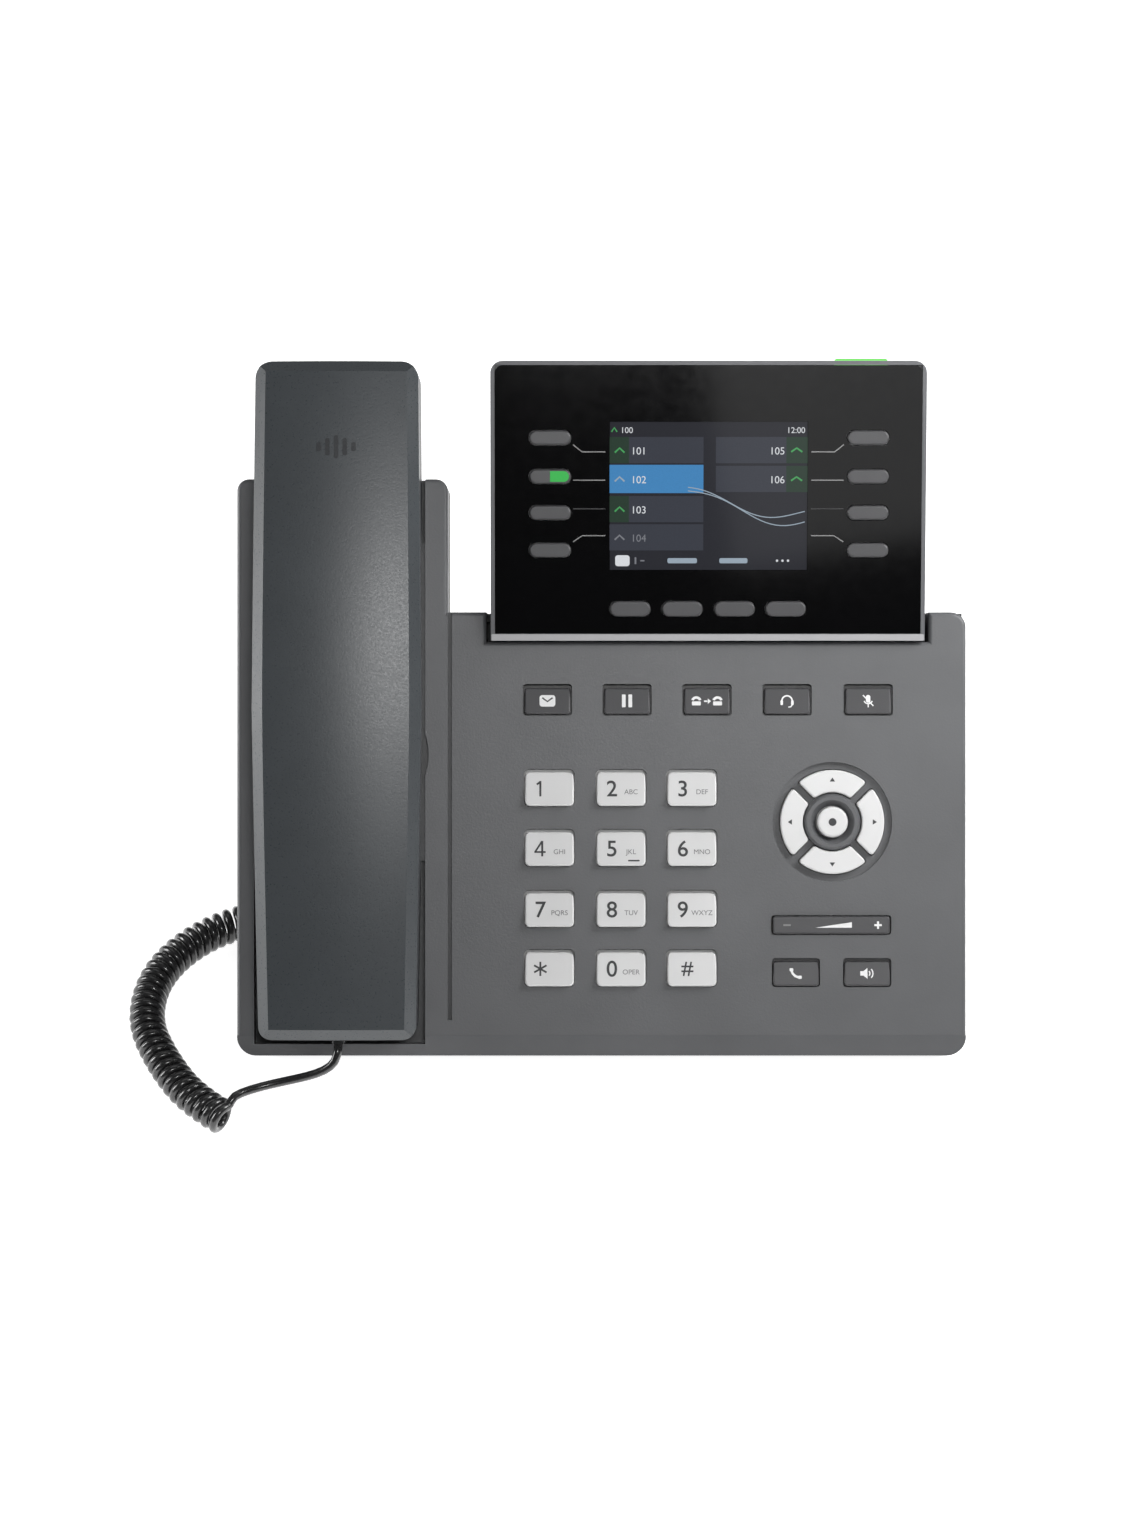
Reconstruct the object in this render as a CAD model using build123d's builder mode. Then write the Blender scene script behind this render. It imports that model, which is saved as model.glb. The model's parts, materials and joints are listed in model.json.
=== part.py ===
from build123d import *
import os
from math import atan2, cos, degrees, pi, radians, sin, sqrt, tan

# A desk telephone on a stand. The sloping front is the face: u runs across it, v up its slope from
# its lower edge, and w out of it. The row frame has +X to the right, +Y to the back and +Z up.

# ---------------------------------------------------------------- driving dimensions, mm
face_tilt = 45.0  # the face's slope from the desk, degrees
screen_lean = 6.0  # how much steeper the display stands than the face, degrees
edge_height = 15.0  # desk to the face's lower edge
half_width = 106.5
keypad_length = 129.7
cradle_length = 168.6
cradle_right = -44.9  # u where the cradle ends and the keypad begins
shell_depth = 13.0  # front housing
body_depth = 24.0  # front and rear housings together
body_foot_depth = 22.0  # the same at the lower edge, where the body is thinner
wall = 2.5
gap = 0.3  # between a moving piece and what it passes

display_width = 126.5
display_height = 81.2
display_u = 30.95  # centre
display_v = 121.3  # lower edge
display_proud = 2.0  # of the face, at its lower edge
bezel_thickness = 2.0
notch_left, notch_right = -33.6, 95.5  # recess in the front housing that takes the display's foot

dial_columns = (-15.2, 5.7, 26.4)
dial_rows = (78.0, 60.5, 42.7, 25.4)
dial_size = (14.3, 9.9)
function_columns = (-15.8, 7.45, 30.8, 54.2, 77.9)
function_row = 103.7
function_size = (13.4, 7.6)
call_row = 24.1
call_size = (13.5, 7.2)
send_u, speaker_u = 56.8, 77.6
nav_centre = (67.4, 68.4)
nav_well, nav_outer, nav_inner, nav_hub, ok_radius = 17.5, 15.2, 8.6, 8.3, 4.5
nav_spoke = 2.3
volume_centre = (67.1, 38.3)
volume_size = (34.2, 5.1)
volume_pin = (0.8, 7.9)  # radius and length of the pin that the rocker turns on
volume_pivot = 1.9  # depth of the pin's middle under the face
line_size = (12.0, 4.1)
line_columns = (-15.0 - display_u, 77.3 - display_u)  # on the display, from its middle
line_rows = (59.0, 47.8, 37.3, 26.4)  # on the display, from its lower edge
soft_size = (11.7, 4.4)
soft_columns = (8.3 - display_u, 23.5 - display_u, 38.7 - display_u, 53.6 - display_u)
soft_row = 9.3
lcd_size = (57.6, 43.2)
lcd_centre = (0.1, 42.1)

handset_u = -76.5
handset_foot, handset_top = 5.6, 201.6  # along v
handset_width = 48.8  # at mid-length
handset_foot_width = 45.4
handset_top_width = 47.0
handset_crown = 21.0  # height of its back over the face, at mid-length
handset_end_height = 17.5  # the same at its two ends
handset_camber = 1.6  # how far its back falls from its middle line to its sides
handset_rest = -6.2  # its lowest face, in the cradle's wells
handset_parting = 10.0
handset_grip = 7.0  # underside of its grip
handset_bevel = 3.2
channel_left, channel_right = -101.5, -51.5  # cradle between its rails
well_depth = 6.5
bed_depth = 1.5
mouth_well_end, ear_well_start = 57.0, 150.0
hook_pivot = (137.0, -5.0)  # v, w
hook_tip = (151.0, 0.6)

wire = 2.6  # cord diameter
coil = 11.0  # outer diameter of the curly cord's coil

# ---------------------------------------------------------------- frame
rise, run = sin(radians(face_tilt)), cos(radians(face_tilt))


def reach(v, w):
    """How far behind the face's lower edge a point of the face lies, along Y."""
    return v * run - w * rise


display_back = body_depth - 11.0  # depth of the display housing's back under the face
lean = radians(screen_lean)
display_top_v = display_v + display_height * cos(lean)
display_top_w = display_proud + display_height * sin(lean)
rear_reach = reach(display_top_v + 2.2, -display_back + 8.0)
front_reach = reach(handset_foot, handset_end_height)
edge_y = -(rear_reach + front_reach) / 2

face = Plane(origin=(0, edge_y, edge_height), x_dir=(1, 0, 0), z_dir=(0, -rise, run))
screen_foot = face.from_local_coords((display_u, display_v, display_proud))
screen = Plane(origin=screen_foot, x_dir=(1, 0, 0), z_dir=face.z_dir).rotated((screen_lean, 0, 0))
side = Plane(origin=(0, edge_y, 0), x_dir=(0, 1, 0), z_dir=(1, 0, 0))  # Y and Z, from the lower edge
up_face = Plane(  # v and w, at the handset's middle
    origin=face.from_local_coords((handset_u, 0, 0)), x_dir=face.y_dir, z_dir=(1, 0, 0)
)

pin_axis = Plane(  # across the volume rocker's pin, at its middle
    origin=face.from_local_coords((*volume_centre, -volume_pivot)), x_dir=(1, 0, 0), z_dir=face.y_dir
)

os.makedirs("parts", exist_ok=True)


def finish(builder, name):
    """Label a finished piece and write it."""
    builder.part.label = name
    export_step(builder.part, f"parts/{name}.step")


def rectangle(u0, u1, v0, v1, mode=Mode.ADD):
    """A rectangle between two corners, in the sketch being drawn."""
    with Locations(((u0 + u1) / 2, (v0 + v1) / 2)):
        Rectangle(u1 - u0, v1 - v0, mode=mode)


def tilted(plane, u, v, low, high, height):
    """A plane across a key's top: at low over its lower edge and at high over its upper edge."""
    middle = plane.from_local_coords((u, v, (low + high) / 2))
    slope = degrees(atan2(low - high, height))
    return Plane(origin=middle, x_dir=(1, 0, 0), z_dir=plane.z_dir).rotated((-slope, 0, 0))


# ---------------------------------------------------------------- housings
def body_outline(plane, inset=0.0):
    """The front housing's outline: keypad side and taller cradle side, less the display's notch."""
    with BuildSketch(plane) as outline:
        rectangle(-half_width, half_width, 0, keypad_length)
        rectangle(-half_width, cradle_right, 0, cradle_length)
        fillet(outline.vertices().group_by(Axis.Y)[0], 5.5)
        fillet(outline.vertices().group_by(Axis.Y)[-1], 3.5)
        fillet(outline.vertices().sort_by_distance((half_width, keypad_length))[0], 4.4)
        rectangle(notch_left, notch_right, display_v - gap, keypad_length + 1, mode=Mode.SUBTRACT)
        if inset:
            offset(amount=-inset)
    return outline.sketch


foot_bevel = Plane(  # slope along the face's lower edge
    origin=face.from_local_coords((0, 6.0, 0)), x_dir=(1, 0, 0), z_dir=face.z_dir
).rotated((18, 0, 0))


def key_holes(sizes, centres, margin=gap, upper=0.0, radius=1.0):
    """Holes for a set of keys: margin all round, and upper more above each."""
    width, height = sizes
    for u, v in centres:
        with Locations((u, v + upper / 2)):
            RectangleRounded(width + 2 * margin, height + 2 * margin + upper, radius)


def nav_segment(angle, margin=0.0):
    """One quarter of the arrow ring, between two diagonal spokes."""
    spoke = (nav_spoke / 2 - margin) * sqrt(2)
    with BuildSketch(mode=Mode.PRIVATE) as quarter:
        Circle(nav_outer + margin)
        Circle(nav_inner - margin, mode=Mode.SUBTRACT)
        with BuildLine():
            Polyline((spoke, 0), (spoke + 30, 30), (spoke + 30, -30), close=True)
        make_face(mode=Mode.INTERSECT)
        fillet(quarter.vertices(), 0.9)
    with Locations(Location((*nav_centre, 0), (0, 0, angle))):
        add(quarter.sketch)


dial_centres = [(u, v) for v in dial_rows for u in dial_columns]
function_centres = [(u, function_row) for u in function_columns]
call_centres = [(send_u, call_row), (speaker_u, call_row)]
line_centres = [(u, v) for u in line_columns for v in line_rows]
soft_centres = [(u, soft_row) for u in soft_columns]

with BuildPart() as front_housing:
    extrude(body_outline(face), amount=-shell_depth)
    split(bisect_by=foot_bevel, keep=Keep.BOTTOM)
    fillet(front_housing.faces().filter_by(face).sort_by(Axis(face.origin, face.z_dir))[-1].edges(), 1.2)
    # the hollow behind the keypad, and the shallower one behind the cradle
    with BuildSketch(face.offset(-shell_depth)):
        rectangle(cradle_right + wall, half_width - wall, wall, display_v - gap - wall)
        rectangle(notch_right + wall, half_width - wall, wall, keypad_length - wall)
        rectangle(cradle_right + wall, notch_left - wall, wall, keypad_length - wall)
    extrude(amount=shell_depth - wall, mode=Mode.SUBTRACT)
    with BuildSketch(face.offset(-shell_depth)):
        rectangle(-half_width + wall, cradle_right - wall, wall, cradle_length - wall)
    extrude(amount=shell_depth - well_depth - 2, mode=Mode.SUBTRACT)
    with BuildSketch(face.offset(-well_depth - 2)):
        rectangle(-half_width + wall, cradle_right - wall, mouth_well_end + 2, ear_well_start - 2)
    extrude(amount=well_depth - bed_depth, mode=Mode.SUBTRACT)
    # the cradle: a bed between two rails, a well for each end of the handset, a finger well
    with BuildSketch(face):
        rectangle(channel_left, channel_right, 3.5, cradle_length + 5)
    extrude(amount=-bed_depth, mode=Mode.SUBTRACT)
    with BuildSketch(face.offset(-bed_depth)):
        rectangle(channel_left, channel_right, 3.5, mouth_well_end)
        rectangle(channel_left, channel_right, ear_well_start, cradle_length + 5)
    extrude(amount=bed_depth - well_depth, mode=Mode.SUBTRACT)
    with BuildSketch(face):
        with Locations((-70, 88)):
            Circle(19.5)
    extrude(amount=-bed_depth - 1, mode=Mode.SUBTRACT)
    # loudspeaker slots and the hook lever's slot in the bed
    with BuildSketch(face):
        with GridLocations(6, 0, 5, 1):
            with Locations((handset_u, 121)):
                SlotOverall(20, 2, rotation=90)
        with Locations((handset_u, (hook_pivot[0] + hook_tip[0]) / 2)):
            Rectangle(10 + 4 * gap, hook_tip[0] - hook_pivot[0] + 5)
    extrude(amount=-shell_depth, mode=Mode.SUBTRACT)
    # the groove between cradle and keypad
    with BuildSketch(face):
        rectangle(cradle_right, cradle_right + 1.2, 10.5, keypad_length + 1)
    extrude(amount=-1.8, mode=Mode.SUBTRACT)
    # the arrow ring's well, its hub, and every key hole
    with BuildSketch(face):
        with Locations(nav_centre):
            Circle(nav_well)
            Circle(nav_hub, mode=Mode.SUBTRACT)
    extrude(amount=-1.4, mode=Mode.SUBTRACT)
    with BuildSketch(face):
        with Locations(nav_centre):
            Circle(nav_hub)
    extrude(amount=1.2, taper=35)
    with BuildSketch(face.offset(-1.2)):
        with Locations(nav_centre):
            Circle(ok_radius + gap)
    extrude(amount=3.0, taper=-35, mode=Mode.SUBTRACT)
    with BuildSketch(face.offset(2)):
        key_holes(dial_size, dial_centres, upper=0.6, radius=1.8)
        key_holes(function_size, function_centres, margin=0.5, upper=0.7)
        key_holes(call_size, call_centres, upper=0.6)
        with Locations(volume_centre):
            RectangleRounded(volume_size[0] + 3 * gap, volume_size[1] + 2 * gap, 1.0)
        with Locations(nav_centre):
            Circle(ok_radius + gap)
        for quarter_turn in (0, 90, 180, 270):
            nav_segment(quarter_turn, margin=gap)
    extrude(amount=-shell_depth, mode=Mode.SUBTRACT)
    # notches that the volume rocker's pin snaps into from behind
    with BuildSketch(pin_axis):
        Circle(volume_pin[0] + gap / 2)
    extrude(amount=volume_pin[1] / 2 + gap, both=True, mode=Mode.SUBTRACT)
finish(front_housing, "front_housing")

# the hump that holds the jacks, and the land that takes the front feet, on the side plane
hump_front, hump_back, hump_floor = 69.0, 95.0, 50.0
hump_half_width = 54.0
foot_height = 1.5
front_foot_y = 16.2  # the front feet's middle, behind the face's lower edge
keyhole_u, keyhole_v = 75.0, 104.0
screw_places = [(-96, 40), (96, 40), (-96, 118), (96, 118), (-96, 156)]
taper_run = 30.0  # of the thinner stretch at the lower edge
taper_angle = degrees(atan2(body_depth - body_foot_depth, taper_run))
jack_row = 84.5  # Y of the jacks' centres, from the face's lower edge
network_jacks = (8.0, 31.0)
headset_jack, handset_jack = -13.0, -34.0


def rear_form(inset=0.0):
    """The rear housing's solid form, or its hollow when drawn in by the wall."""
    foot = Plane(
        origin=face.from_local_coords((0, 0, -body_foot_depth + inset)), x_dir=(1, 0, 0), z_dir=face.z_dir
    ).rotated((-taper_angle, 0, 0))
    with BuildPart() as form:
        with BuildSketch(face.offset(-shell_depth)) as outline:
            rectangle(-half_width, half_width, 0, keypad_length)
            rectangle(-half_width, cradle_right, 0, cradle_length)
            rectangle(-28, 90, keypad_length - 1, 160)
            fillet(outline.vertices().group_by(Axis.Y)[0], 5.5)
            fillet(outline.vertices().group_by(Axis.Y)[-1], 3.5)
            if inset:
                offset(amount=-inset)
        extrude(amount=-(body_depth - shell_depth - inset))
        split(bisect_by=foot, keep=Keep.TOP)
        split(bisect_by=Plane.XY.offset(foot_height + inset), keep=Keep.TOP)
        with BuildSketch(side):
            with BuildLine():
                Polyline(
                    (hump_front + inset, hump_floor + inset),
                    (hump_back - inset, hump_floor + inset),
                    (hump_back - inset, hump_back - 12),
                    (hump_front + inset, hump_front - 12),
                    close=True,
                )
            make_face()
        extrude(amount=hump_half_width - inset, both=True)
    return form.part


with BuildPart() as rear_housing:
    add(rear_form())
    add(rear_form(wall), mode=Mode.SUBTRACT)
    with BuildSketch(Plane.XY.offset(hump_floor - 1)):
        for x in network_jacks:
            with Locations((x, edge_y + jack_row)):
                Rectangle(12.2, 8.6)
        for x in (headset_jack, handset_jack):
            with Locations((x, edge_y + jack_row)):
                Rectangle(8.1, 7.1)
    extrude(amount=wall + 1, mode=Mode.SUBTRACT)
    # wall-mount keyholes
    with BuildSketch(face.offset(-body_depth - 1)):
        for u in (-keyhole_u, keyhole_u):
            with Locations((u, keyhole_v)):
                Circle(4)
            with Locations((u, keyhole_v + 4.5)):
                SlotOverall(9, 4, rotation=90)
    extrude(amount=wall + 2, mode=Mode.SUBTRACT)
    # screw bosses, with their holes through the back wall
    with BuildSketch(face.offset(-body_depth + wall)):
        with Locations(*screw_places):
            Circle(3.4)
    extrude(amount=body_depth - wall - shell_depth - 0.3)
    with BuildSketch(face.offset(-body_depth - 1)):
        with Locations(*screw_places):
            Circle(1.6)
    extrude(amount=body_depth, mode=Mode.SUBTRACT)
    with BuildSketch(face.offset(-body_depth - 1)):
        with Locations(*screw_places):
            Circle(3.1)
    extrude(amount=2.2, mode=Mode.SUBTRACT)
finish(rear_housing, "rear_housing")

with BuildPart() as housing_screws:
    with BuildSketch(face.offset(-body_depth + 0.1)):
        with Locations(*screw_places):
            Circle(2.8)
    extrude(amount=1.1)
    with BuildSketch(face.offset(-body_depth + 1.2)):
        with Locations(*screw_places):
            Circle(1.5)
    extrude(amount=8.5)
    with BuildSketch(face.offset(-body_depth + 0.1)):
        with Locations(*screw_places):
            Rectangle(3.4, 0.7)
            Rectangle(0.7, 3.4)
    extrude(amount=0.6, mode=Mode.SUBTRACT)
finish(housing_screws, "housing_screws")

# ---------------------------------------------------------------- stand and feet
stand_half_width = 62.0
stand_skin = 4.0
stand_foot_back, stand_foot_front = 132.0, 114.0
rear_foot_height = 3.0
plate_low, plate_high = 113.8, 128.6  # along v, on the body's back

with BuildPart() as stand:
    with BuildSketch(side):
        with BuildLine():
            Polyline(
                (reach(76, -body_depth), edge_height + 76 * rise - body_depth * run),
                (reach(plate_high, -body_depth), edge_height + plate_high * rise - body_depth * run),
                (stand_foot_back, 9),
                (stand_foot_back, rear_foot_height),
                (stand_foot_front, rear_foot_height),
                (stand_foot_front - 5, 9),
                close=True,
            )
        make_face()
    extrude(amount=stand_half_width, both=True)
    with BuildSketch(side):
        rectangle(0, 200, 0, 200)
    extrude(amount=stand_half_width - stand_skin, both=True, mode=Mode.SUBTRACT)
    # windows through the two cheeks
    with BuildSketch(side) as window:
        with BuildLine():
            Polyline((86, 55), (105, 74), (119, 25), (113, 18), close=True)
        make_face()
        fillet(window.vertices(), 3)
    extrude(amount=stand_half_width + 1, both=True, mode=Mode.SUBTRACT)
    # the foot bar and the plate that clips to the body's back
    with BuildSketch(side):
        rectangle(stand_foot_front, stand_foot_back, rear_foot_height, 9)
    extrude(amount=stand_half_width - stand_skin + 0.5, both=True)
    with BuildSketch(face.offset(-body_depth)):
        rectangle(-stand_half_width + 1, stand_half_width - 1, plate_low, plate_high)
    extrude(amount=-3)
finish(stand, "stand")

with BuildPart() as rubber_feet:
    # two at the front, under the body's lower edge, and two under the stand's foot bar
    with BuildSketch(Plane.XY):
        for x in (-85, 85):
            with Locations((x, edge_y + front_foot_y)):
                RectangleRounded(26, 4.4, 1.8)
    extrude(amount=foot_height)
    with BuildSketch(Plane.XY):
        for x in (-46, 46):
            with Locations((x, edge_y + (stand_foot_front + stand_foot_back) / 2)):
                RectangleRounded(22, 13, 3)
    extrude(amount=rear_foot_height)
finish(rubber_feet, "rubber_feet")

# ---------------------------------------------------------------- display
with BuildPart() as display_housing:
    with BuildSketch(screen) as display_outline:
        rectangle(-display_width / 2, display_width / 2, 0, display_height)
        fillet(display_outline.vertices().group_by(Axis.Y)[-1], 3.5)
    extrude(amount=-40)
    split(bisect_by=face.offset(-shell_depth + 0.1), keep=Keep.TOP)
    # the back's upper corner is cut away
    with BuildSketch(up_face):
        with BuildLine():
            Polyline((178, -display_back - 5), (215, -display_back - 5), (215, 6), close=True)
        make_face()
    extrude(amount=half_width * 4, both=True, mode=Mode.SUBTRACT)
    # silver strip: the lower edge of the front is sloped
    with BuildSketch(screen.offset(-bezel_thickness)):
        rectangle(-display_width / 2 + 1.2, display_width / 2 - 1.2, 2.0, display_height - 1.2)
    extrude(amount=bezel_thickness, mode=Mode.SUBTRACT)
    with BuildSketch(screen.offset(-9.5)):
        rectangle(-display_width / 2 + wall, display_width / 2 - wall, 4.0, display_height - wall)
    extrude(amount=9.5 - bezel_thickness + 0.01, mode=Mode.SUBTRACT)
    # the message light's slot in the top edge
    with BuildSketch(screen.offset(-5.2)):
        rectangle(75.2 - display_u - 7.8, 75.2 - display_u + 7.8, display_height - 3, display_height + 1)
    extrude(amount=3.2, mode=Mode.SUBTRACT)
finish(display_housing, "display_housing")

with BuildPart() as display_bezel:
    with BuildSketch(screen.offset(-bezel_thickness + 0.02)) as bezel_outline:
        rectangle(-display_width / 2 + 1.25, display_width / 2 - 1.25, 2.05, display_height - 1.25)
        fillet(bezel_outline.vertices().group_by(Axis.Y)[-1], 2.4)
        with Locations(lcd_centre):
            Rectangle(*lcd_size, mode=Mode.SUBTRACT)
    extrude(amount=bezel_thickness)
    with BuildSketch(screen.offset(-bezel_thickness - 1)):
        with Locations(*line_centres):
            SlotOverall(line_size[0] + 2 * gap, line_size[1] + 2 * gap)
        with Locations(*soft_centres):
            SlotOverall(soft_size[0] + 2 * gap, soft_size[1] + 2 * gap)
    extrude(amount=bezel_thickness + 2, mode=Mode.SUBTRACT)
finish(display_bezel, "display_bezel")

with BuildPart() as lcd_panel:
    with BuildSketch(screen.offset(-5.4)):
        with Locations(lcd_centre):
            RectangleRounded(lcd_size[0] + 6, lcd_size[1] + 1, 0.5)
    extrude(amount=5.4 - bezel_thickness - 0.1)
    with BuildSketch(screen.offset(-bezel_thickness - 0.1)):
        with Locations(lcd_centre):
            Rectangle(lcd_size[0] - 0.1, lcd_size[1] - 0.1)
    extrude(amount=bezel_thickness - 0.3)
finish(lcd_panel, "lcd_panel")

with BuildPart() as message_light:
    with BuildSketch(screen.offset(-5.1)):
        rectangle(75.2 - display_u - 7.6, 75.2 - display_u + 7.6, display_height - 2.8, display_height + 0.6)
    extrude(amount=3.0)
    fillet(message_light.edges().sort_by(Axis(screen.origin, screen.y_dir))[-4:], 0.5)
finish(message_light, "message_light")

# ---------------------------------------------------------------- inside
with BuildPart() as circuit_boards:
    with BuildSketch(face.offset(-8.2)):
        rectangle(cradle_right + wall + 3, half_width - wall - 3, 6, 115)
    extrude(amount=1.6)
    with BuildSketch(screen.offset(-7.4)):
        rectangle(-display_width / 2 + 4, display_width / 2 - 4, 5.5, display_height - 5)
    extrude(amount=1.6)
    with BuildSketch(side.offset(-46)):
        rectangle(jack_row + 6.6, jack_row + 7.8, hump_floor + wall + 1, hump_floor + 24)
    extrude(amount=92)
finish(circuit_boards, "circuit_boards")

with BuildPart() as keypad_mat:
    with BuildSketch(face.offset(-6.5)):
        rectangle(cradle_right + wall + 3, half_width - wall - 3, 12, 112)
    extrude(amount=0.9)
finish(keypad_mat, "keypad_mat")

speaker_place = (handset_u, 108)
with BuildPart() as loudspeaker:
    with BuildSketch(face.offset(-15)):
        with Locations(speaker_place):
            Circle(18)
    extrude(amount=5)
    with BuildSketch(face.offset(-10)):
        with Locations(speaker_place):
            Circle(22)
    extrude(amount=2)
    with BuildSketch(face.offset(-19)):
        with Locations(speaker_place):
            Circle(11)
    extrude(amount=4)
finish(loudspeaker, "loudspeaker")

with BuildPart() as port_jacks:
    for x in network_jacks:
        with BuildSketch(Plane.XY.offset(hump_floor + wall)):
            with Locations((x, edge_y + jack_row)):
                Rectangle(16, 13)
        extrude(amount=16)
        with BuildSketch(Plane.XY.offset(hump_floor + wall)):
            with Locations((x, edge_y + jack_row)):
                Rectangle(11.9, 8.3)
        extrude(amount=13, mode=Mode.SUBTRACT)
    for x in (headset_jack, handset_jack):
        with BuildSketch(Plane.XY.offset(hump_floor + wall)):
            with Locations((x, edge_y + jack_row)):
                Rectangle(11.2, 11)
        extrude(amount=15)
        with BuildSketch(Plane.XY.offset(hump_floor + wall)):
            with Locations((x, edge_y + jack_row)):
                Rectangle(7.9, 6.8)
        extrude(amount=12, mode=Mode.SUBTRACT)
finish(port_jacks, "port_jacks")

with BuildPart() as hook_lever:
    with BuildSketch(up_face):
        with BuildLine():
            Line(hook_pivot, (hook_tip[0] - 1, hook_tip[1] - 1.5))
        trace(line_width=3.0)
        with Locations(hook_pivot):
            Circle(2.4)
    extrude(amount=5, both=True)
finish(hook_lever, "hook_lever")

# ---------------------------------------------------------------- keys
def push_key(name, plane, place, outline, low, high, height, depth=3.6, edge=0.5):
    """A key: a cap with its outline, tops at low and high, on a wider flange that keeps it in."""
    u, v = place
    with BuildPart() as key:
        with BuildSketch(plane.offset(-depth)):
            with Locations(place):
                outline(0)
        extrude(amount=depth + max(low, high) + 1)
        split(bisect_by=tilted(plane, u, v, low, high, height), keep=Keep.BOTTOM)
        crown = key.faces().sort_by(Axis(plane.origin, plane.z_dir))[-1]
        fillet(crown.edges(), edge)
        with BuildSketch(plane.offset(-depth)):
            with Locations(place):
                outline(0.8)
        extrude(amount=0.8)
    finish(key, name)


def rounded(size, radius):
    """Outline of a rectangular key, grown by a rim."""
    return lambda rim: RectangleRounded(size[0] + 2 * rim, size[1] + 2 * rim, radius + rim)


def slot(size):
    """Outline of a key with round ends, grown by a rim."""
    return lambda rim: SlotOverall(size[0] + 2 * rim, size[1] + 2 * rim)


dial_names = ("1", "2", "3", "4", "5", "6", "7", "8", "9", "star", "0", "hash")
for mark, place in zip(dial_names, dial_centres):
    push_key(f"dial_key_{mark}", face, place, rounded(dial_size, 1.5), 1.8, -0.5, dial_size[1])
function_names = ("messages", "hold", "transfer", "headset", "mute")
for mark, place in zip(function_names, function_centres):
    push_key(f"{mark}_key", face, place, rounded(function_size, 0.8), 0.5, -0.7, function_size[1])
for mark, place in zip(("send", "speaker"), call_centres):
    push_key(f"{mark}_key", face, place, rounded(call_size, 1.0), 0.6, -0.7, call_size[1])
for number, place in enumerate(soft_centres, 1):
    push_key(f"soft_key_{number}", screen, place, slot(soft_size), 0.9, 0.9, soft_size[1], 3.2)
for number, place in enumerate(line_centres):
    row_side = ("left", "right")[number // 4]
    push_key(f"line_key_{row_side}_{number % 4 + 1}", screen, place, slot(line_size), 0.9, 0.9,
             line_size[1], 3.2)

for turn, name in enumerate(("right", "up", "left", "down")):
    with BuildPart() as arrow_key:
        with BuildSketch(face.offset(-3.6)):
            nav_segment(90 * turn)
        extrude(amount=4.2)
        fillet(arrow_key.faces().sort_by(Axis(face.origin, face.z_dir))[-1].edges(), 0.5)
    finish(arrow_key, f"arrow_key_{name}")

with BuildPart() as ok_key:
    with BuildSketch(face.offset(-3.6)):
        with Locations(nav_centre):
            Circle(ok_radius)
    extrude(amount=5.0)
    fillet(ok_key.faces().sort_by(Axis(face.origin, face.z_dir))[-1].edges(), 0.8)
    with BuildSketch(face.offset(-3.6)):
        with Locations(nav_centre):
            Circle(ok_radius + 0.8)
    extrude(amount=0.8)
finish(ok_key, "ok_key")

with BuildPart() as volume_rocker:
    with BuildSketch(face.offset(-2.4)):
        with Locations(volume_centre):
            RectangleRounded(*volume_size, 0.8)
    extrude(amount=3.2)
    fillet(volume_rocker.faces().sort_by(Axis(face.origin, face.z_dir))[-1].edges(), 0.5)
    # the pin stands out at both long sides, under the face
    with BuildSketch(pin_axis):
        Circle(volume_pin[0])
    extrude(amount=volume_pin[1] / 2, both=True)
finish(volume_rocker, "volume_rocker")

# ---------------------------------------------------------------- handset
handset_wall = 2.2
cord_port = 5.0  # w of the cord's port in the handset's lower end
port_size = (8.1, 7.0)
ear_centre, mouth_centre = (handset_u, 178.0), (handset_u, 28.0)


def handset_plan(inset, radii=None):
    """The handset's outline seen square on to the face, wider at the ear end, with rounded corners."""
    low, high = handset_foot + inset, handset_top - inset
    foot_half, half, top_half = (
        width / 2 - inset for width in (handset_foot_width, handset_width, handset_top_width)
    )
    with BuildSketch(face.offset(handset_rest + inset)) as plan:
        with BuildLine():
            Polyline(
                (handset_u - foot_half, low),
                (handset_u + foot_half, low),
                (handset_u + half, 100),
                (handset_u + top_half, high),
                (handset_u - top_half, high),
                (handset_u - half, 100),
                close=True,
            )
        make_face()
        if radii:
            fillet(plan.vertices().group_by(Axis.Y)[0], radii[0])
            fillet(plan.vertices().group_by(Axis.Y)[-1], radii[1])
    return plan.sketch


def cambered_back(inset=0.0):
    """A solid whose upper side is the handset's back: arched along it and cambered across it."""
    middle = (handset_foot + handset_top) / 2
    half_length, half = (handset_top - handset_foot) / 2, handset_width / 2
    rise_along = handset_crown - handset_end_height
    arch_radius = (half_length**2 + rise_along**2) / (2 * rise_along)
    camber_radius = (half**2 + handset_camber**2) / (2 * handset_camber) - inset
    across = Plane(
        origin=face.from_local_coords((handset_u, middle, handset_crown - inset)),
        x_dir=(1, 0, 0),
        z_dir=-face.y_dir,
    )
    hub = face.from_local_coords((handset_u, middle, handset_crown - arch_radius))
    turn = degrees(half_length / arch_radius) + 1
    with BuildPart() as back:
        with BuildSketch(across) as section:
            with Locations((0, -camber_radius)):
                Circle(camber_radius)
            rectangle(-handset_width, handset_width, -handset_width, 1, mode=Mode.INTERSECT)
        arch = Axis(hub, (1, 0, 0))
        revolve(section.sketch.rotate(arch, -turn), axis=arch, revolution_arc=2 * turn)
    return back.part


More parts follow.
